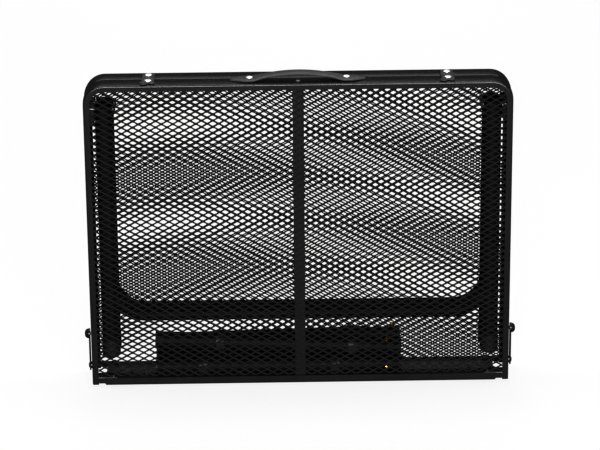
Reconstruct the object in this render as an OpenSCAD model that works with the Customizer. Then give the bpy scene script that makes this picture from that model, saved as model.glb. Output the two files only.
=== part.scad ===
// Folding table with an expanded-metal top, closed like a case and standing on its hinge edge.
// X runs along the hinge, Y runs through the depth, and Y = 0 is the parting plane between the
// front half (negative Y) and the rear half (positive Y). Z = 0 is the level the feet stand on.

/* [Case] */
// Width across the side rails
table_w = 600; // [560:5:660]
// Height of each half from hinge edge to handle edge
half_h = 450; // [430:5:500]
// Depth of each half
half_d = 31; // [31:0.5:34]
// Thickness of the rail sheet
sheet_t = 1.2; // [1:0.1:1.5]
// Outer radius of the two corners on the handle edge
corner_r = 30; // [24:1:40]
// Width of the flat lip around the table face
lip_w = 9.5; // [7:0.5:10]
// How far the outer wall bulges at mid depth
crown = 1.2; // [0.8:0.1:1.6]
// Radius along the outer edges of the rails
edge_r = 2.2; // [1.6:0.1:2.6]

/* [Legs] */
// Outer diameter of the legs and of the extension tubes
leg_d = 25; // [22:0.5:25]
// Distance from the middle plane to each leg
leg_x = 271.5; // [264:0.5:272]
// Height of the foot's lower end above the rail's lower edge
leg_foot_z = 38; // [34:1:60]
// Height of the leg pivot above the rail's lower edge
leg_pivot_z = 411; // [390:1:414]
// Diameter of the cross tube
cross_d = 17; // [14:1:20]
// Height of the cross tube above the rail's lower edge
cross_z = 101; // [96:1:130]

/* [Extension tubes] */
// Length of the full-diameter part
ext_main_l = 304; // [260:2:310]
// Length of the narrower neck
ext_neck_l = 47; // [40:1:50]
// Diameter of the spring button
button_d = 6.8; // [6:0.2:7.6]

/* [Handle and latches] */
// Distance between the two handle rivets
handle_pitch = 135; // [120:1:150]
// Rise of the handle strap above the rail
handle_rise = 13; // [12:0.5:18]
// Distance from the middle plane to each latch
latch_x = 208.5; // [180:0.5:230]

/* [Hidden] */
$fn = 48;

powder = [0.075, 0.075, 0.08];
tube_black = [0.06, 0.06, 0.065];
rubber_black = [0.035, 0.035, 0.038];
steel = [0.80, 0.81, 0.82];
zinc = [0.40, 0.40, 0.42];
brass = [0.78, 0.42, 0.16];

part_gap = 1;                    // gap between the two halves' rims
axis_z = 2.15;                   // hinge axis above the floor
barrel_r = 2;                    // hinge barrel
pin_r = 1;                       // hinge pin
running = 0.06;                  // radial clearance of a pivot
rivet_r = 2;                     // shank of the smaller rivets and screws
hole_play = 0.1;                 // radial play of a rivet in its hole
leaf_t = 1;
leaf_up = 1.3;                   // underside of a leaf above the hinge axis
base_z = axis_z + leaf_up + leaf_t;   // lower edge of the rails
top_z = base_z + half_h;
rim_in = part_gap / 2;           // distance of a rim's rear edge from the parting plane
rim_depth = half_d - rim_in;
rim_mid_y = -(half_d + rim_in) / 2;
crown_r = (pow(rim_depth / 2, 2) + crown * crown) / (2 * crown);
return_w = 5;                    // width of the flange along the parting plane

rail_h = 10;                     // bottom rail's box section
rail_d = 9;
rail_r = 2;
rail_half = 281;                 // half length of the box section
floor_in = 7;                    // from the parting plane to the rail's inner flange
foot_head_r = 3.2;               // pulled-in head of a rubber foot
mesh_t = 0.4;
mesh_front_y = -half_d + sheet_t;
mesh_overlap = 5;                // how far the panel runs in behind the lip
gusset_x = leg_x - 7.5;          // inner end of a gusset
gusset_d = 15.2;
gusset_t = 1.5;
gusset_screw_x = leg_x - 1.5;
gusset_screw_y = -half_d + 5.9;
bar_w = 15;
bar_t = 1.4;
behind_mesh_y = -half_d + 2.4;   // first free plane behind the strands

tube_y = -14.6;                  // plane of the legs and stored tubes
tube_r = leg_d / 2;
tube_wall = 1.2;
cross_r = cross_d / 2;
cross_bend_r = 50;
foot_cap_r = tube_r + 0.6;
foot_cap_h = 28;
pivot_r = 3;
boss_r = 8.3;
boss_drop = 18;                  // from the pivot to the spacer's lower edge
boss_gap = 0.4;
leg_top = 6.7;                   // from the pivot to the leg's upper end
leg_top_r = 6;

ext_x = -206;                    // left end of the stored tubes
ext_lower_z = base_z + 20.8;
ext_neck_r = 10.8;
front_ext_upper_z = base_z + 62;
front_ext_tilt = 2.6;
rear_ext_upper_z = base_z + 47;
rear_ext_tilt = -1.3;
front_button_at = ext_main_l + 25.5;   // button's place along a front tube
rear_button_at = ext_main_l + 36;
button_out = 13.6;               // tip of the button from the tube's axis
button_out_high = 17;
lower_turn = 100;                // from straight up towards the face of the case
front_upper_turn = 10;
clip_places = [60, 250];
clip_shift = 25;
clip_w = 12;
clip_out_r = tube_r + 1.7;
clip_cut = ext_lower_z - base_z - rail_h - 0.5;

hinge_l = 560;
knuckles = 9;
knuckle_p = hinge_l / knuckles;
foot_r = 5.5;
foot_y = -12;
front_foot_x = 220;
rear_foot_x = 245;

handle_y = -13.5;
strap_t = 4.5;
strap_w = 17;
tongue_w = 23.4;
tongue_t = 4;
tongue_gap = 0.1;                // between a tongue and the rail
tongue_start = 55;
tongue_end = handle_pitch / 2 + 27;
tongue_tip_r = 5;
rivet_seat_r = 5.3;               // flat seat under each rivet head
arch_half = 77;                  // half span of the arch
arch_r = (arch_half * arch_half + handle_rise * handle_rise) / (2 * handle_rise);

latch_pivot_y = -18;
latch_reach = 26;                // from the pivot to the catch stud
latch_t = 2;
latch_z = top_z + 0.6;
latch_w = 17.5;
stud_r = 2.5;
slot_half = 2.9;

lock_z = base_z + 25;
lock_reach = 49;
lock_stand = 1.6;                  // gap between the rail and the lock plate
lock_t = 1.5;
lock_w = 15;
knob_r = 7;
knob_h = 6;

// Everything on the rear half is the front half's shape seen in the parting plane.
module rear() { mirror([0, 1, 0]) children(); }
module both_sides() {
    children();
    mirror([1, 0, 0]) children();
}

// ---- rail section: x grows outward and ends at 0 on the crown, y is the depth ----

// Filled outline of the crowned wall, set in by a distance, with its two outer edges rounded.
module crowned_area(inset, x_in) {
    big = crown_r - inset;
    y0 = -half_d + inset;
    y1 = -rim_in - inset;
    r = edge_r - inset;
    span = (y1 - y0) / 2;
    cx = -crown_r + sqrt(pow(big - r, 2) - pow(span - r, 2));
    lean = asin((span - r) / (big - r));
    difference() {
        intersection() {
            translate([-crown_r, rim_mid_y]) circle(r = big, $fn = 360);
            translate([x_in, y0]) square([-x_in, y1 - y0]);
        }
        for (side = [-1, 1]) {
            translate([cx, rim_mid_y + side * (span - r)])
                polygon([[0, 0], [0, side * 4], [8, side * 4],
                         [8 * cos(lean), side * 8 * sin(lean)]]);
        }
    }
    for (side = [-1, 1]) {
        translate([cx, rim_mid_y + side * (span - r)]) circle(r = r);
    }
}

module rim_section() {
    difference() {
        crowned_area(0, -lip_w);
        crowned_area(sheet_t, -lip_w - 1);
        translate([-lip_w - 1, -rim_in - sheet_t - 0.5])
            square([lip_w + 1 - return_w, sheet_t + 1]);
    }
}

module rim_corner() {
    translate([table_w / 2 - corner_r, 0, top_z - corner_r])
        mirror([0, 0, 1]) rotate([-90, 0, 0])
            rotate_extrude(angle = 90, $fn = 96) translate([corner_r, 0]) rim_section();
}

module rim_side() {
    translate([table_w / 2, 0, base_z])
        linear_extrude(half_h - corner_r) rim_section();
}

module rim_top() {
    translate([table_w / 2 - corner_r, 0, top_z]) rotate([0, -90, 0])
        linear_extrude(table_w - 2 * corner_r) rim_section();
}

// U-shaped rim: two sides and the handle edge, bent from one open section.
module rim() {
    union() {
        rim_top();
        both_sides() {
            rim_corner();
            rim_side();
        }
    }
}

// Holes in the handle edge and in the sides for the rivets.
module rim_hole(x, y, r) {
    translate([x, y, top_z - 6]) cylinder(r = r, h = 12);
}

module side_hole(z) {
    for (side = [-1, 1]) {
        translate([side * (table_w / 2 - 6), rim_mid_y, z])
            rotate([0, side * 90, 0]) cylinder(r = rivet_r + hole_play, h = 12);
    }
}

module front_rim() {
    color(powder) difference() {
        rim();
        for (side = [-1, 1]) {
            rim_hole(side * latch_x, latch_pivot_y, stud_r + hole_play);
            rim_hole(side * handle_pitch / 2, handle_y, rivet_r + hole_play);
        }
        side_hole(lock_z);
    }
}

module rear_rim() {
    color(powder) difference() {
        rear() rim();
        for (side = [-1, 1]) {
            rim_hole(side * latch_x, latch_pivot_y + latch_reach, stud_r + hole_play);
        }
    }
}

// ---- bottom rail, gussets, centre bar and panel ----

// Closed box section with a round lower edge.
module rail_section() {
    difference() {
        union() {
            translate([-half_d + rail_r, 0]) square([rail_d - rail_r, rail_h]);
            translate([-half_d, rail_r]) square([rail_d, rail_h - rail_r]);
            translate([-half_d + rail_r, rail_r]) circle(r = rail_r);
        }
        translate([-half_d + sheet_t, sheet_t])
            square([rail_d - 2 * sheet_t, rail_h - 2 * sheet_t]);
    }
}

// Box section with a flange along the case's floor and a face plate that is a little longer.
module bottom_rail(own_foot_x) {
    plate_w = table_w - 2 * lip_w;
    color(powder) difference() {
        union() {
            translate([-rail_half, 0, base_z]) rotate([90, 0, 90])
                linear_extrude(2 * rail_half) rail_section();
            translate([-plate_w / 2, -half_d, base_z + rail_r])
                cube([plate_w, sheet_t, rail_h - rail_r]);
            translate([-rail_half, -half_d + rail_d - 1, base_z])
                cube([2 * rail_half, half_d - rail_d + 1 - floor_in, sheet_t]);
        }
        both_sides() {
            gusset_hole();
            translate([own_foot_x, foot_y, base_z - 1]) cylinder(r = foot_head_r + 0.3, h = 4);
        }
    }
}

// Flat corner plate that ties the bottom rail to the side rail.
module gusset_plate() {
    out_x = table_w / 2 - crown - 2.4;
    difference() {
        translate([gusset_x, -half_d + 1.8, base_z + rail_h])
            cube([out_x - gusset_x, gusset_d, gusset_t]);
        gusset_hole();
    }
}

module gusset_hole() {
    translate([gusset_screw_x, gusset_screw_y, base_z + rail_h - 2])
        cylinder(r = rivet_r + hole_play, h = 6);
}

module gussets() { color(powder) both_sides() gusset_plate(); }

// Round-headed screws through the gussets into the rail's upper wall.
module gusset_screws() {
    color(steel) both_sides()
        translate([gusset_screw_x, gusset_screw_y, base_z + rail_h + gusset_t + 0.1]) {
            translate([0, 0, -3.4]) cylinder(r = rivet_r, h = 3.5);
            rotate_extrude() polygon([[0, 0], [3.9, 0], [3.7, 1.2], [2.7, 2.5], [1.1, 3],
                                      [0, 3]]);
        }
}

module centre_bar() {
    z0 = base_z + rail_h + 0.3;
    color(powder) translate([-bar_w / 2, behind_mesh_y, z0])
        cube([bar_w, bar_t, top_z - 3 - z0]);
}

// Panel of expanded sheet, as a plain sheet of the same weight, with its two round corners.
module panel() {
    w = table_w - 2 * lip_w + 2 * mesh_overlap;
    z0 = base_z + rail_h;
    h = top_z - lip_w + mesh_overlap - z0;
    r = corner_r - lip_w + mesh_overlap;
    color(powder) translate([0, mesh_front_y + mesh_t, z0]) rotate([90, 0, 0])
        linear_extrude(mesh_t) {
            translate([-w / 2, 0]) square([w, h - r]);
            translate([-w / 2 + r, h - r]) square([w - 2 * r, r]);
            for (side = [-1, 1]) {
                translate([side * (w / 2 - r), h - r]) circle(r = r);
            }
        }
}

// ---- legs ----

module leg() {
    z0 = base_z + leg_foot_z + 6;
    h = base_z + leg_pivot_z + leg_top - z0;
    color(tube_black) translate([leg_x, tube_y, z0]) difference() {
        rotate_extrude() {
            square([tube_r - leg_top_r, h]);
            square([tube_r, h - leg_top_r]);
            translate([tube_r - leg_top_r, h - leg_top_r]) circle(r = leg_top_r);
        }
        translate([0, 0, -1]) cylinder(r = tube_r - tube_wall, h = h - leg_top - 14);
        translate([-20, 0, h - leg_top]) rotate([0, 90, 0])
            cylinder(r = pivot_r + running, h = 40);
    }
}

module leg_foot() {
    rise = 6;
    translate([leg_x, tube_y, base_z + leg_foot_z]) rotate_extrude() difference() {
        union() {
            square([foot_cap_r - rise, foot_cap_h]);
            translate([0, rise]) square([foot_cap_r, foot_cap_h - rise]);
            translate([foot_cap_r - rise, rise]) circle(r = rise);
        }
        translate([-20, -1]) square([20, foot_cap_h + 2]);
        translate([0, rise]) square([tube_r + 0.02, foot_cap_h]);
    }
}

module leg_feet() { color(rubber_black) both_sides() leg_foot(); }

// Cross tube: a straight bar and two bends that end in the legs.
module cross_tube() {
    bend_x = leg_x - 2.5 - cross_bend_r;
    wall_r = cross_r - tube_wall;
    color(tube_black) difference() {
        translate([0, tube_y, base_z + cross_z]) union() {
            translate([-bend_x, 0, 0]) rotate([0, 90, 0]) difference() {
                cylinder(r = cross_r, h = 2 * bend_x);
                translate([0, 0, -1]) cylinder(r = wall_r, h = 2 * bend_x + 2);
            }
            both_sides() translate([bend_x, 0, cross_bend_r]) rotate([90, 0, 0])
                rotate([0, 0, -90]) rotate_extrude(angle = 75, $fn = 96)
                    translate([cross_bend_r, 0]) difference() {
                        circle(r = cross_r);
                        circle(r = wall_r);
                    }
        }
        both_sides() translate([leg_x, tube_y, base_z + leg_foot_z])
            cylinder(r = tube_r, h = leg_pivot_z);
        both_sides() translate([leg_x, tube_y - 20, base_z + leg_foot_z])
            cube([20, 40, leg_pivot_z]);
    }
}

// Spacer between the side rail and the leg; the leg's pivot runs through it.
module leg_boss() {
    inner = leg_x + tube_r + boss_gap;
    outer = table_w / 2 - sheet_t - 0.45;
    color(powder) translate([inner, tube_y, base_z + leg_pivot_z]) rotate([0, 90, 0])
        difference() {
            union() {
                cylinder(r = boss_r, h = outer - inner);
                translate([0, -boss_r, 0]) cube([boss_drop, 2 * boss_r, outer - inner]);
            }
            translate([0, 0, -1]) cylinder(r = pivot_r + hole_play, h = outer - inner + 2);
        }
}

// Pivot bolt: a hexagon head and a washer on the leg's inner side.
module leg_pivot() {
    inner = leg_x - tube_r - boss_gap;
    outer = table_w / 2 - sheet_t - 1;
    color(zinc) translate([inner, tube_y, base_z + leg_pivot_z]) rotate([0, 90, 0]) {
        cylinder(r = pivot_r, h = outer - inner);
        translate([0, 0, -0.8]) cylinder(r = 6, h = 0.8);
        translate([0, 0, -3.3]) cylinder(r = 5.4, h = 2.6, $fn = 6);
    }
}

// ---- stored extension tubes ----

// Places its children along a stored tube whose left end is at the given height.
module along_tube(z, tilt) {
    translate([ext_x, tube_y, z]) rotate([0, tilt, 0]) children();
}

// Tube with a narrower neck; the button hole is turned about the tube's axis.
module extension_tube(at, turn) {
    color(tube_black) difference() {
        rotate([0, 90, 0]) {
            cylinder(r = tube_r, h = ext_main_l);
            cylinder(r = ext_neck_r, h = ext_main_l + ext_neck_l);
        }
        rotate([0, 90, 0]) translate([0, 0, -1]) {
            cylinder(r = tube_r - tube_wall, h = ext_main_l - 2);
            cylinder(r = ext_neck_r - tube_wall, h = ext_main_l + ext_neck_l + 2);
        }
        translate([at, 0, 0]) rotate([turn, 0, 0])
            cylinder(r = button_d / 2 + running, h = 20);
    }
}

module tube_plug() {
    rotate([0, 90, 0]) {
        translate([0, 0, -2]) cylinder(r = tube_r, h = 1.98);
        translate([0, 0, -0.1]) cylinder(r = tube_r - tube_wall - 0.02, h = 14);
    }
}

// Button: a round pin with a domed tip, pointing along +Z before it is turned.
module spring_button(at, turn, out = button_out) {
    dome = 2;
    r = button_d / 2;
    color(brass) translate([at, 0, 0]) rotate([turn, 0, 0]) rotate_extrude()
        polygon([[0, 4.5], [r, 4.5], [r, out - dome], [r * 0.87, out - 0.9],
                 [r * 0.55, out - 0.25], [0, out]]);
}

// Hook-shaped clip that stands on the panel and reaches over a tube. It ends above the rail.
module tube_clip() {
    rotate([0, 90, 0]) difference() {
        union() {
            cylinder(r = clip_out_r, h = clip_w);
            translate([-5, -clip_out_r - 0.5, 0]) cube([10, 4, clip_w]);
        }
        translate([0, 0, -1]) cylinder(r = tube_r + 0.05, h = clip_w + 2);
        translate([-20, 5, -1]) cube([40, 20, clip_w + 2]);
        translate([clip_cut, -20, -1]) cube([20, 40, clip_w + 2]);
    }
}

module tube_clips(upper_z, tilt) {
    color(rubber_black) {
        for (x = clip_places) {
            along_tube(ext_lower_z, 0) translate([x, 0, 0]) tube_clip();
            along_tube(upper_z, tilt) translate([x + clip_shift, 0, 0]) tube_clip();
        }
    }
}

module tube_plugs(upper_z, tilt) {
    color(rubber_black) {
        along_tube(ext_lower_z, 0) tube_plug();
        along_tube(upper_z, tilt) tube_plug();
    }
}

// ---- hinge ----

module knuckle(i) {
    x = -hinge_l / 2 + i * knuckle_p + 0.25;
    w = knuckle_p - 0.5;
    translate([x, 0, axis_z]) rotate([0, 90, 0]) cylinder(r = barrel_r, h = w);
    translate([x, -3, axis_z + 1.1]) cube([w, 3, barrel_r - 1.1]);
}

// Leaf under the bottom rail. first is 0 or 1: the knuckles it owns.
module hinge_leaf(first, own_x, other_x) {
    color(powder) difference() {
        union() {
            translate([-hinge_l / 2, -half_d + 1.5, axis_z + leaf_up])
                cube([hinge_l, half_d - 1.5 - 2.5, leaf_t]);
            for (i = [first : 2 : knuckles - 1]) {
                knuckle(i);
            }
        }
        translate([-hinge_l / 2 - 1, 0, axis_z]) rotate([0, 90, 0])
            cylinder(r = pin_r + running, h = hinge_l + 2);
        for (side = [-1, 1]) {
            translate([side * other_x, foot_y, 0]) cylinder(r = foot_r + 1, h = 10);
            translate([side * own_x, foot_y, 0]) cylinder(r = rivet_r + hole_play, h = 10);
        }
    }
}

// Rubber foot with a stem that is pulled through the leaf.
module rubber_foot(x) {
    z = axis_z + leaf_up;
    color(rubber_black) translate([x, foot_y, 0]) {
        cylinder(r = foot_r, h = z - 0.01);
        cylinder(r = rivet_r, h = z + leaf_t + 0.4);
        translate([0, 0, z + leaf_t + 0.02]) cylinder(r = foot_head_r, h = 1.4);
    }
}

module hinge_pin() {
    color(steel) translate([-hinge_l / 2 - 0.6, 0, axis_z]) rotate([0, 90, 0])
        cylinder(r = pin_r, h = hinge_l + 1.2);
}

// ---- handle ----

// Side view of the arch between the two tongues.
module arch_side() {
    intersection() {
        translate([0, handle_rise - arch_r]) difference() {
            circle(r = arch_r, $fn = 360);
            circle(r = arch_r - strap_t, $fn = 360);
        }
        translate([-arch_half, tongue_gap]) square([2 * arch_half, handle_rise + 1]);
    }
}

// Plan view of a tongue: it widens around the rivet and tapers to a round end.
module tongue_plan() {
    tip_x = tongue_end - tongue_tip_r;
    translate([tongue_start, -strap_w / 2])
        square([handle_pitch / 2 - tongue_start, strap_w]);
    translate([handle_pitch / 2, 0]) circle(d = tongue_w);
    translate([tip_x, 0]) circle(r = tongue_tip_r);
    polygon([[handle_pitch / 2, -tongue_w / 2], [tip_x, -tongue_tip_r],
             [tip_x, tongue_tip_r], [handle_pitch / 2, tongue_w / 2]]);
}

module handle() {
    color(rubber_black) translate([0, handle_y, top_z]) difference() {
        union() {
            translate([0, strap_w / 2, 0]) rotate([90, 0, 0])
                linear_extrude(strap_w) arch_side();
            both_sides() translate([0, 0, tongue_gap]) linear_extrude(tongue_t) tongue_plan();
        }
        both_sides() translate([handle_pitch / 2, 0, 0]) {
            cylinder(r = rivet_r + hole_play, h = handle_rise);
            translate([0, 0, tongue_gap + tongue_t]) cylinder(r = rivet_seat_r, h = handle_rise);
        }
    }
}

module handle_rivets() {
    color(steel) both_sides() translate([handle_pitch / 2, handle_y, top_z]) {
        translate([0, 0, -4]) cylinder(r = rivet_r, h = 4.2 + tongue_gap + tongue_t);
        translate([0, 0, tongue_gap + tongue_t + 0.02])
            rotate_extrude() polygon([[0, 0], [5, 0], [4.8, 0.6], [3.8, 1.3], [2.1, 1.8],
                                      [0, 1.9]]);
        translate([0, 0, -3.2]) cylinder(r = 4, h = 1.2);
    }
}

// ---- latches ----

// Round-headed pin with a washer under the plate that it carries or catches.
module headed_pin(gap) {
    z = latch_z + latch_t + gap - top_z;
    translate([0, 0, -4]) cylinder(r = stud_r, h = 4 + z + 0.2);
    translate([0, 0, 0.02]) cylinder(r = 4.2, h = 0.5);
    translate([0, 0, z]) rotate_extrude() polygon([[0, 0], [5.2, 0], [5, 0.7], [4, 1.4],
                                                   [2.2, 1.9], [0, 2]]);
    translate([0, 0, -3.4]) cylinder(r = 4.2, h = 1.2);
}

module latch_pivots() {
    color(steel) both_sides() translate([latch_x, latch_pivot_y, top_z]) headed_pin(0.1);
}

module latch_studs() {
    color(steel) both_sides() translate([latch_x, latch_pivot_y + latch_reach, top_z])
        headed_pin(0.3);
}

// Swivelling plate: its slot runs on an arc about the pivot and opens on the right.
module latch_outline() {
    difference() {
        union() {
            translate([-latch_w / 2, -7]) square([latch_w, latch_reach + 10]);
            translate([-latch_w / 2 + 3, latch_reach + 3]) square([latch_w - 6, 3]);
            for (side = [-1, 1]) {
                translate([side * (latch_w / 2 - 3), latch_reach + 3]) circle(r = 3);
            }
            translate([-6, -7.5]) circle(r = 5.2);
            translate([5.2, -6.5]) circle(r = 4);
        }
        intersection() {
            difference() {
                circle(r = latch_reach + slot_half, $fn = 120);
                circle(r = latch_reach - slot_half, $fn = 120);
            }
            square([40, 60]);
        }
        translate([0, latch_reach]) circle(r = slot_half);
        circle(r = stud_r + running);
    }
}

module latch(side) {
    color(zinc) translate([side * latch_x, latch_pivot_y, latch_z]) {
        linear_extrude(latch_t) latch_outline();
        translate([-6, -7.5, latch_t]) cylinder(r1 = 3.6, r2 = 2.8, h = 1.4);
    }
}

// ---- side locks ----

// Plate with round ends, drawn standing up from its pivot on the right-hand side.
module lock_plate() {
    x = table_w / 2 + lock_stand;
    color(powder) translate([x, rim_mid_y, lock_z]) rotate([90, 0, 90])
        linear_extrude(lock_t) difference() {
            union() {
                translate([-lock_w / 2, 0]) square([lock_w, lock_reach]);
                circle(d = lock_w);
                translate([0, lock_reach]) circle(d = lock_w);
            }
            circle(r = rivet_r + running);
            translate([0, lock_reach]) circle(r = 2.5);
        }
}

module lock_knob() {
    x = table_w / 2 + lock_stand + lock_t;
    color(rubber_black) translate([x, rim_mid_y, lock_z + lock_reach]) rotate([0, 90, 0]) {
        rotate_extrude() polygon([[0, -lock_t - 1], [2.45, -lock_t - 1], [2.45, 0.01],
                                  [knob_r, 0.01], [knob_r, 1.2], [knob_r * 0.86, knob_h * 0.62],
                                  [knob_r * 0.55, knob_h * 0.9], [0, knob_h]]);
    }
}

module lock_pivot() {
    out = lock_stand + lock_t + 0.1;
    translate([table_w / 2, rim_mid_y, lock_z]) rotate([0, 90, 0]) {
        translate([0, 0, -4]) cylinder(r = rivet_r, h = 4 + out);
        translate([0, 0, 0.02]) cylinder(r = 5, h = lock_stand - 0.12);
        translate([0, 0, out - 0.01])
            rotate_extrude() polygon([[0, 0], [4.2, 0], [3.9, 0.8], [2.6, 1.5], [0, 1.7]]);
        translate([0, 0, -3.6]) cylinder(r = 3.8, h = 1.2);
    }
}

module lock_pivots() { color(steel) both_sides() lock_pivot(); }

// Small screw in the handle edge, above the centre bar.
module bar_screw() {
    color(steel) translate([0, latch_pivot_y, top_z + 0.05])
        rotate_extrude() polygon([[0, 0], [3.2, 0], [2.9, 0.7], [1.6, 1.2], [0, 1.3]]);
}

front_rim();
bottom_rail(front_foot_x);  // front_bottom_rail
panel();  // front_mesh
centre_bar();  // front_centre_bar
gussets();  // front_gussets
gusset_screws();  // front_gusset_screws
both_sides() leg_boss();  // front_leg_bosses
mirror([1, 0, 0]) leg();  // front_leg_left
leg();  // front_leg_right
cross_tube();  // front_cross_tube
both_sides() leg_pivot();  // front_leg_pivots
leg_feet();  // front_leg_feet
hinge_leaf(0, front_foot_x, rear_foot_x);  // front_hinge_leaf
tube_clips(front_ext_upper_z, front_ext_tilt);  // front_tube_clips
along_tube(ext_lower_z, 0) extension_tube(front_button_at, lower_turn);  // front_lower_tube
along_tube(front_ext_upper_z, front_ext_tilt)  // front_upper_tube
        extension_tube(front_button_at, front_upper_turn);
tube_plugs(front_ext_upper_z, front_ext_tilt);  // front_tube_plugs
both_sides() rubber_foot(front_foot_x);  // front_feet
rear_rim();
rear() bottom_rail(rear_foot_x);  // rear_bottom_rail
rear() panel();  // rear_mesh
rear() centre_bar();  // rear_centre_bar
rear() gussets();  // rear_gussets
rear() gusset_screws();  // rear_gusset_screws
rear() both_sides() leg_boss();  // rear_leg_bosses
rear() mirror([1, 0, 0]) leg();  // rear_leg_left
rear() leg();  // rear_leg_right
rear() cross_tube();  // rear_cross_tube
rear() both_sides() leg_pivot();  // rear_leg_pivots
rear() leg_feet();  // rear_leg_feet
rear() hinge_leaf(1, rear_foot_x, front_foot_x);  // rear_hinge_leaf
rear() tube_clips(rear_ext_upper_z, rear_ext_tilt);  // rear_tube_clips
rear() along_tube(ext_lower_z, 0) extension_tube(rear_button_at, lower_turn);  // rear_lower_tube
rear() along_tube(rear_ext_upper_z, rear_ext_tilt) extension_tube(rear_button_at, 0);  // rear_upper_tube
rear() tube_plugs(rear_ext_upper_z, rear_ext_tilt);  // rear_tube_plugs
rear() both_sides() rubber_foot(rear_foot_x);  // rear_feet
hinge_pin();
handle();
handle_rivets();
latch_pivots();
latch_studs();
latch(-1);  // latch_left
latch(1);  // latch_right
lock_pivots();
mirror([1, 0, 0]) lock_plate();  // lock_plate_left
lock_plate();  // lock_plate_right
mirror([1, 0, 0]) lock_knob();  // lock_knob_left
lock_knob();  // lock_knob_right
along_tube(ext_lower_z, 0) spring_button(front_button_at, lower_turn);  // button_front_lower
along_tube(front_ext_upper_z, front_ext_tilt)  // button_front_upper
        spring_button(front_button_at, front_upper_turn);
rear() along_tube(ext_lower_z, 0) spring_button(rear_button_at, lower_turn);  // button_rear_lower
rear() along_tube(rear_ext_upper_z, rear_ext_tilt)  // button_rear_upper
        spring_button(rear_button_at, 0, button_out_high);
bar_screw();  // front_bar_screw
rear() bar_screw();  // rear_bar_screw
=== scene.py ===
import math
import bpy
from mathutils import Matrix, Vector


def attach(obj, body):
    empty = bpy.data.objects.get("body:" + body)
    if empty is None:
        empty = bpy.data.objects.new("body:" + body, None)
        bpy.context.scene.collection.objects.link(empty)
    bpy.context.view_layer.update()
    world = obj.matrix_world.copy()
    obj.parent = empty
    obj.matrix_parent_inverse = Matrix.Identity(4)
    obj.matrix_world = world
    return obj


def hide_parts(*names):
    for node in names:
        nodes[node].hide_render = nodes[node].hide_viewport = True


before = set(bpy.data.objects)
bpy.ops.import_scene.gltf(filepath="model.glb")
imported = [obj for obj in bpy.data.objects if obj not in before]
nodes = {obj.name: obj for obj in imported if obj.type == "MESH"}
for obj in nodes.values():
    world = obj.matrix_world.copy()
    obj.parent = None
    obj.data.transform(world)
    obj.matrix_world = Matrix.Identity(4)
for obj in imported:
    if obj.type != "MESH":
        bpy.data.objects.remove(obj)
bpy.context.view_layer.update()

# ---------------------------------------------------------------- sizes, in millimetres
MM = 0.001                      # metres in a millimetre
BASE_Z = 4.45                   # lower edge of the rims
TOP_Z = BASE_Z + 450
HALF_W = 300.0
CORNER_R = 30.0


# ---------------------------------------------------------------- materials
class Tree:
    """A material's node tree with short helpers."""

    def __init__(self, name):
        self.mat = bpy.data.materials.new(name)
        self.mat.use_nodes = True
        self.nodes = self.mat.node_tree.nodes
        self.links = self.mat.node_tree.links
        self.bsdf = next(n for n in self.nodes if n.type == "BSDF_PRINCIPLED")

    def add(self, kind, **inputs):
        node = self.nodes.new(kind)
        for key, value in inputs.items():
            node.inputs[key.replace("_", " ")].default_value = value
        return node

    def link(self, a, b):
        self.links.new(a, b)

    def coords(self, scale):
        coord = self.nodes.new("ShaderNodeTexCoord")
        mapping = self.nodes.new("ShaderNodeMapping")
        mapping.inputs["Scale"].default_value = scale
        self.link(coord.outputs["Object"], mapping.inputs["Vector"])
        return mapping.outputs["Vector"]

    def noise(self, vector, scale, detail=2.0, rough=0.5):
        node = self.add("ShaderNodeTexNoise", Scale=scale, Detail=detail, Roughness=rough)
        self.link(vector, node.inputs["Vector"])
        return node.outputs["Fac"]

    def span(self, value, lo, hi, start=0.0, end=1.0):
        node = self.nodes.new("ShaderNodeMapRange")
        node.inputs["From Min"].default_value = start
        node.inputs["From Max"].default_value = end
        node.inputs["To Min"].default_value = lo
        node.inputs["To Max"].default_value = hi
        self.link(value, node.inputs["Value"])
        return node.outputs["Result"]

    def mix(self, factor, a, b):
        node = self.nodes.new("ShaderNodeMix")
        node.data_type = "RGBA"
        node.inputs["A"].default_value = (*a, 1)
        node.inputs["B"].default_value = (*b, 1)
        self.link(factor, node.inputs["Factor"])
        return node.outputs["Result"]

    def bump(self, height, strength, distance):
        node = self.add("ShaderNodeBump", Strength=strength, Distance=distance)
        self.link(height, node.inputs["Height"])
        self.link(node.outputs["Normal"], self.bsdf.inputs["Normal"])


def powder(name, dark, light, rough_lo, rough_hi, grain=0.35, specular=0.5):
    """Satin powder coat: a fine orange-peel with slow changes in shade."""
    t = Tree(name)
    vector = t.coords((1, 1, 1))
    slow = t.noise(vector, 26, 3.0)
    fine = t.noise(vector, 900, 2.0)
    t.link(t.mix(t.span(slow, 0, 1, 0.3, 0.7), dark, light), t.bsdf.inputs["Base Color"])
    t.link(t.span(fine, rough_lo, rough_hi, 0.3, 0.7), t.bsdf.inputs["Roughness"])
    t.bsdf.inputs["Specular IOR Level"].default_value = specular
    t.bump(fine, grain, 0.00008)
    return t.mat


def plated(name, color, rough_lo, rough_hi, grain=0.15, tint=None, metal=1.0):
    """Plated metal with fine scratches; metal below 1 gives the milky look of dull nickel."""
    t = Tree(name)
    vector = t.coords((1, 1, 1))
    fine = t.noise(vector, 700, 3.0)
    slow = t.noise(vector, 60, 2.0)
    t.link(t.mix(t.span(slow, 0, 1, 0.35, 0.65), color, tint or color),
           t.bsdf.inputs["Base Color"])
    t.link(t.span(fine, rough_lo, rough_hi, 0.3, 0.7), t.bsdf.inputs["Roughness"])
    t.bsdf.inputs["Metallic"].default_value = metal
    t.bump(fine, grain, 0.00004)
    return t.mat


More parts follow.
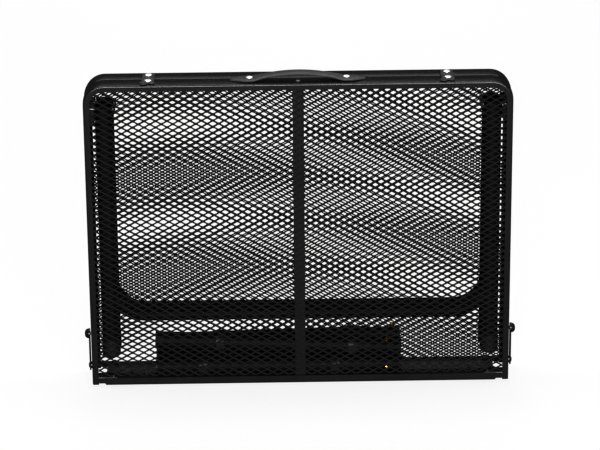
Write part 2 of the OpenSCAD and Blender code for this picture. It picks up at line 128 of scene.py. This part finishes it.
def soft_black(name, dark, light, rough_lo, rough_hi, grain=0.4, scale=500, specular=0.4):
    """Moulded rubber or plastic."""
    t = Tree(name)
    vector = t.coords((1, 1, 1))
    slow = t.noise(vector, 40, 3.0)
    fine = t.noise(vector, scale, 3.0)
    t.link(t.mix(t.span(slow, 0, 1, 0.3, 0.7), dark, light), t.bsdf.inputs["Base Color"])
    t.link(t.span(slow, rough_lo, rough_hi, 0.3, 0.7), t.bsdf.inputs["Roughness"])
    t.bsdf.inputs["Specular IOR Level"].default_value = specular
    t.bump(fine, grain, 0.0001)
    return t.mat


RIM = powder("rim_coat", (0.022, 0.022, 0.0232), (0.029, 0.029, 0.0305), 0.18, 0.27,
             specular=0.8)
MESH = powder("mesh_coat", (0.0070, 0.0070, 0.0074), (0.0100, 0.0100, 0.0106), 0.44, 0.54,
              specular=0.14)
TUBE = powder("tube_coat", (0.0056, 0.0056, 0.0058), (0.0080, 0.0080, 0.0083), 0.45, 0.55,
              specular=0.12)
HINGE = powder("hinge_coat", (0.015, 0.015, 0.016), (0.021, 0.021, 0.022), 0.40, 0.50,
               specular=0.3)
LATCH = powder("latch_plate_coat", (0.070, 0.070, 0.072), (0.095, 0.095, 0.098), 0.30, 0.42,
               specular=0.5)
BRIGHT = plated("bright_plate", (0.86, 0.86, 0.87), 0.26, 0.38, tint=(0.78, 0.78, 0.80),
                metal=0.45)
ZINC = plated("dull_zinc", (0.16, 0.16, 0.165), 0.36, 0.48, tint=(0.11, 0.11, 0.115))
SCREW = plated("screw_plate", (0.55, 0.55, 0.56), 0.30, 0.42, tint=(0.45, 0.45, 0.46),
               metal=0.45)
BRASS = plated("button_brass", (0.80, 0.42, 0.12), 0.24, 0.34, tint=(0.66, 0.30, 0.08))
STRAP = soft_black("strap_rubber", (0.075, 0.075, 0.077), (0.095, 0.095, 0.097), 0.36, 0.46)
RUBBER = soft_black("foot_rubber", (0.012, 0.012, 0.0125), (0.017, 0.017, 0.0175), 0.55, 0.7)
PLASTIC = soft_black("knob_plastic", (0.010, 0.010, 0.0105), (0.014, 0.014, 0.0145), 0.40, 0.50)

FINISH = {
    "rim": RIM, "bottom_rail": RIM, "mesh": MESH, "centre_bar": HINGE, "gussets": RIM,
    "gusset_screws": ZINC, "leg_bosses": RIM, "leg_left": TUBE, "leg_right": TUBE,
    "cross_tube": TUBE, "leg_pivots": ZINC, "leg_feet": RUBBER, "hinge_leaf": HINGE,
    "tube_clips": PLASTIC, "lower_tube": TUBE, "upper_tube": TUBE, "tube_plugs": PLASTIC,
    "feet": RUBBER, "bar_screw": SCREW, "hinge_pin": ZINC, "handle": STRAP,
    "handle_rivets": BRIGHT, "latch_pivots": BRIGHT, "latch_studs": BRIGHT,
    "latch_left": LATCH, "latch_right": LATCH, "lock_pivots": ZINC, "lock_plate_left": RIM,
    "lock_plate_right": RIM, "lock_knob_left": PLASTIC, "lock_knob_right": PLASTIC,
}


def paint(obj, material):
    obj.data.materials.clear()
    obj.data.materials.append(material)


for name, obj in nodes.items():
    key = name.split("_", 1)[1] if name.startswith(("front_", "rear_")) else name
    if name.startswith("button_"):
        paint(obj, BRASS)
    else:
        paint(obj, FINISH[key])


# ---------------------------------------------------------------- expanded metal
MID_Z = 230.0                   # height at which a panel's uneven stretch is centred


class Lattice:
    """Where the bonds of one expanded sheet lie, from its cell size and how true it sits."""

    def __init__(self, cell, rise, lean, start, bow, taper, gather, curl):
        width, height = cell
        self.up = ((width + lean) / 2, (rise + height) / 2)
        self.down = ((width - lean) / 2, (rise - height) / 2)
        self.start = start
        self.uneven = (bow, taper, gather, curl)

    def stretch(self, x, z):
        """How far the sheet is out of true at (x, z): 1 mm on average, 4.5 mm at one corner."""
        bow, taper, gather, curl = self.uneven
        h = z - MID_Z
        return bow * x * x + taper * x * h + gather * h * h + curl * h ** 3

    def bond(self, m, n):
        """Place in millimetres of the bond that is m steps up and n steps down from the start."""
        x = self.start[0] + m * self.up[0] + n * self.down[0]
        even = self.start[1] + m * self.up[1] + n * self.down[1]
        z = even
        for _ in range(3):
            z = even - self.stretch(x, z)
        return x, z


FRONT_LATTICE = Lattice(cell=(16.068, 9.352), rise=0.014, lean=0.040, start=(8.04, -0.735),
                        bow=-1.52e-5, taper=-4.0e-6, gather=-2.25e-5, curl=1.40e-7)
REAR_LATTICE = Lattice(cell=(16.058, 8.890), rise=-0.062, lean=0.057, start=(5.07, -0.621),
                       bow=1.71e-5, taper=2.10e-5, gather=2.05e-5, curl=-7.3e-8)
STRAND_W = 2.00                 # width of a strand along the sheet
STRAND_LEAN = 20                # degrees that each strand leans back
STRAND_T = 0.56
BOND_REACH = 1.60               # size of the solid lozenge at a bond
PANEL_Y = 29.2                  # middle plane of each panel from the parting plane
PANEL_IN = 3.0                  # from the table's outline to the panel's edge, behind the lip
PANEL_LOW = BASE_Z + 10         # the panel's lower edge, on the bottom rail
OFF_PANEL = 0.01                # a cell whose centre is further out than this is left away
CELL_REACH = 90                 # steps up and down that cover the whole panel
CORNERS = 4                     # bonds round a cell
HOLE_POINTS = 8                 # points of a cell's opening


def add_mesh(name, verts, faces, material, body):
    data = bpy.data.meshes.new(name)
    data.from_pydata(verts, [], faces)
    data.update()
    obj = bpy.data.objects.new(name, data)
    bpy.context.scene.collection.objects.link(obj)
    obj.data.materials.append(material)
    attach(obj, body)
    return obj


def held_in_panel(x, z):
    """The nearest place to (x, z) that is on the panel, in millimetres."""
    half = HALF_W - PANEL_IN
    top = TOP_Z - PANEL_IN
    r = CORNER_R - PANEL_IN
    x = max(-half, min(half, x))
    z = max(PANEL_LOW, min(top, z))
    side = 1 if x > 0 else -1
    dx, dz = abs(x) - (half - r), z - (top - r)
    if dx > 0 and dz > 0:
        out = math.hypot(dx, dz)
        if out > r:
            x = side * (half - r + dx * r / out)
            z = top - r + dz * r / out
    return x, z


def opening(corners):
    """Eight points of a cell's opening, from its left, top, right and bottom bonds."""
    left, top, right, bottom = corners
    step = math.dist(left, top)
    trim = STRAND_W / 2 / step
    reach = (2 * BOND_REACH - STRAND_W / 2) / step
    points = []
    for u, v in ((trim, reach), (reach, trim), (1 - reach, trim), (1 - trim, reach),
                 (1 - trim, 1 - reach), (1 - reach, 1 - trim), (reach, 1 - trim),
                 (trim, 1 - reach)):
        points.append((left[0] + u * (top[0] - left[0]) + v * (bottom[0] - left[0]),
                       left[1] + u * (top[1] - left[1]) + v * (bottom[1] - left[1])))
    return points


def expanded(name, side, lattice, body):
    """Raised expanded sheet: a ring of metal round each opening. side is -1 in front, 1 behind."""
    lean = STRAND_W / 2 * math.sin(math.radians(STRAND_LEAN))
    verts, faces = [], []

    def put(points, depths):
        first = len(verts)
        for face in (-1, 1):
            for (x, z), d in zip(points, depths):
                x, z = held_in_panel(x, z)
                y = side * PANEL_Y + side * d + face * STRAND_T / 2
                verts.append((x * MM, y * MM, z * MM))
        return first

    layer = CORNERS + HOLE_POINTS
    for m in range(-CELL_REACH, CELL_REACH):
        for n in range(-CELL_REACH, CELL_REACH):
            corners = [lattice.bond(m, n), lattice.bond(m + 1, n), lattice.bond(m + 1, n + 1),
                       lattice.bond(m, n + 1)]
            centre = ((corners[0][0] + corners[2][0]) / 2, (corners[1][1] + corners[3][1]) / 2)
            if math.dist(held_in_panel(*centre), centre) > OFF_PANEL:
                continue
            hole = opening(corners)
            middle = centre[1]
            depths = [0] * CORNERS + [lean if z > middle else -lean for x, z in hole]
            k = put(corners + hole, depths)
            for level, turn in ((0, 1), (layer, -1)):
                a = k + level
                left, top, right, bottom = a, a + 1, a + 2, a + 3
                h = [a + CORNERS + i for i in range(HOLE_POINTS)]
                ring = [(left, h[0], h[1]), (left, h[1], h[2], top), (top, h[2], h[3]),
                        (top, h[3], h[4], right), (right, h[4], h[5]),
                        (right, h[5], h[6], bottom), (bottom, h[6], h[7]),
                        (bottom, h[7], h[0], left)]
                faces += [f[::turn] for f in ring]
            near, far = k + CORNERS, k + layer + CORNERS
            for i in range(HOLE_POINTS):
                j = (i + 1) % HOLE_POINTS
                faces.append((near + i, far + i, far + j, near + j))
    return add_mesh(name, verts, faces, MESH, body)


front_panel = expanded("front_expanded_panel", -1, FRONT_LATTICE, "front_half")
rear_panel = expanded("rear_expanded_panel", 1, REAR_LATTICE, "rear_half")
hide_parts("front_mesh")
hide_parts("rear_mesh")


# ---------------------------------------------------------------- carry strap
STRAP_Y = -13.5                 # middle of the strap
STRAP_RISE = 13.0
STRAP_T = 4.5
ARCH_HALF = 77.0
STRAP_HALF = 8.5                # half width between the pads
PAD_HALF = 11.7                 # half width at the rivets
PAD_T = 4.1                     # top of the pads above the rim
PAD_REACH = 17.0                # how far the wider part runs to each side of a rivet
PAD_SHOULDER = 8.0              # from a rivet to where the pad starts to narrow
TIP_ROUND = 12.0                # length over which the pad's tip rounds off
TIP_NARROW = 0.35               # part of the width lost at the tip
TIP_LEFT = 0.3                  # part of the width and height left at the very end
BLEND = 1.2                     # softness of the line between arch and pad
PAD_TIP = 94.5
RIVET_X = 67.5
RIVET_SEAT = 5.3                # flat place under each rivet head
UNDER_CAD = 0.01                # the arch's crown stays this far inside the CAD strap
SITS = 0.1                      # the pads' underside above the rim


def blend_max(a, b, soft):
    """The larger of a and b, rounded off where they are close."""
    h = max(0.0, soft - abs(a - b)) / soft
    return max(a, b) + h * h * soft / 4


def strap_station(x):
    """Half width, underside and top of the strap at x, all in millimetres."""
    ax = abs(x)
    radius = (ARCH_HALF ** 2 + STRAP_RISE ** 2) / (2 * STRAP_RISE)
    arch = STRAP_RISE - radius + math.sqrt(radius ** 2 - ax ** 2)
    tip = min(1.0, max(0.0, (PAD_TIP - ax) / TIP_ROUND))
    round_off = TIP_LEFT + (1 - TIP_LEFT) * math.sqrt(1 - (1 - tip) ** 2)
    top = min(STRAP_RISE - UNDER_CAD, blend_max(arch, PAD_T * round_off, BLEND))
    if abs(ax - RIVET_X) < RIVET_SEAT:
        top = min(top, PAD_T)
    low = max(SITS, arch - STRAP_T)
    swell = math.exp(-((ax - RIVET_X) / PAD_REACH) ** 4)
    shoulder = RIVET_X + PAD_SHOULDER
    narrow = 1 - TIP_NARROW * min(1.0, max(0.0, (ax - shoulder) / (PAD_TIP - shoulder)))
    half = (STRAP_HALF + (PAD_HALF - STRAP_HALF) * swell) * narrow * round_off
    return half, low, top


def carry_strap():
    """Moulded strap: one lofted skin from pad to pad with soft edges."""
    stations, around = 150, 28
    side_edge, top_edge = 0.5, 0.6  # 1 would be an ellipse, 0 a box
    verts, faces = [], []
    for i in range(stations + 1):
        x = -PAD_TIP + 2 * PAD_TIP * i / stations
        half, low, top = strap_station(x)
        for j in range(around):
            a = 2 * math.pi * (j + 0.5) / around
            c, k = math.cos(a), math.sin(a)
            y = STRAP_Y + half * math.copysign(abs(c) ** side_edge, c)
            z = (top + low) / 2 + (top - low) / 2 * math.copysign(abs(k) ** top_edge, k)
            verts.append((x * MM, y * MM, (TOP_Z + z) * MM))
    for i in range(stations):
        for j in range(around):
            a, b = i * around + j, i * around + (j + 1) % around
            faces.append((a, a + around, b + around, b))
    faces.append(tuple(range(around)))
    faces.append(tuple(range(stations * around, (stations + 1) * around))[::-1])
    obj = add_mesh("carry_strap", verts, faces, STRAP, "front_half")
    for p in obj.data.polygons:
        p.use_smooth = True
    return obj


strap = carry_strap()
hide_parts("handle")


# ---------------------------------------------------------------- floor, light, camera
FLOOR_REACH = 25                # metres to each side


def studio_floor():
    """A flat pale floor that glows a little, as a lit table does, so no hard shadow shows."""
    t = Tree("floor_white")
    t.bsdf.inputs["Base Color"].default_value = (0.12, 0.12, 0.12, 1)
    t.bsdf.inputs["Roughness"].default_value = 1.0
    t.bsdf.inputs["Specular IOR Level"].default_value = 0.0
    t.bsdf.inputs["Emission Color"].default_value = (1, 1, 1, 1)
    t.bsdf.inputs["Emission Strength"].default_value = 0.86
    data = bpy.data.meshes.new("studio_floor")
    r = FLOOR_REACH
    data.from_pydata([(-r, -r, 0), (r, -r, 0), (r, r, 0), (-r, r, 0)], [], [(0, 1, 2, 3)])
    obj = bpy.data.objects.new("studio_floor", data)
    bpy.context.scene.collection.objects.link(obj)
    obj.data.materials.append(t.mat)
    obj.visible_glossy = False
    obj.visible_diffuse = False


studio_floor()


def area(name, at, to, size, power):
    data = bpy.data.lights.new(name, "AREA")
    data.shape = "RECTANGLE"
    data.size, data.size_y = size
    data.energy = power
    obj = bpy.data.objects.new(name, data)
    bpy.context.scene.collection.objects.link(obj)
    obj.location = at
    obj.rotation_mode = "QUATERNION"
    obj.rotation_quaternion = (Vector(to) - Vector(at)).to_track_quat("-Z", "Y")
    return obj


area("rear_softbox", (0, 2.0, 2.5), (0, 0, 0.45), (3.4, 1.4), 25)
area("top_softbox", (0, 0.35, 2.7), (0, 0, 0.45), (3.2, 0.7), 34)
area("front_fill", (0.2, -3.3, 1.1), (0, 0, 0.2), (3.4, 1.4), 190)

# Soft lights for the sides and the back, left out of reflections.
for name, at in (("back_fill", (0, 3.3, 1.3)), ("left_fill", (-3.2, 0.3, 1.2)),
                 ("right_fill", (3.2, 0.3, 1.2))):
    area(name, at, (0, 0, 0.25), (1.6, 1.4), 32).visible_glossy = False

world = bpy.data.worlds.new("studio_world")
bpy.context.scene.world = world
world.use_nodes = True
background = next(n for n in world.node_tree.nodes if n.type == "BACKGROUND")
background.inputs["Color"].default_value = (1, 1, 1, 1)
background.inputs["Strength"].default_value = 0.05

CAMERA_AT = (-0.0516, -3.7177, 1.6026)
PAN, TILT, ROLL = math.radians(0.815), math.radians(20.209), math.radians(-0.491)

cam_data = bpy.data.cameras.new("camera")
cam_data.sensor_width = 36
cam_data.lens = 167.08
cam = bpy.data.objects.new("camera", cam_data)
bpy.context.scene.collection.objects.link(cam)
forward = Vector((math.sin(PAN) * math.cos(TILT), math.cos(PAN) * math.cos(TILT), -math.sin(TILT)))
level_right = Vector((math.cos(PAN), -math.sin(PAN), 0))
level_up = level_right.cross(forward)
right = level_right * math.cos(ROLL) + level_up * math.sin(ROLL)
up = level_up * math.cos(ROLL) - level_right * math.sin(ROLL)
turn = Matrix((right, up, -forward)).transposed()
cam.matrix_world = Matrix.Translation(CAMERA_AT) @ turn.to_4x4()
cam_data.clip_end = 50
bpy.context.scene.camera = cam
bpy.context.scene.view_settings.view_transform = "Standard"
bpy.context.scene.view_settings.gamma = 0.66
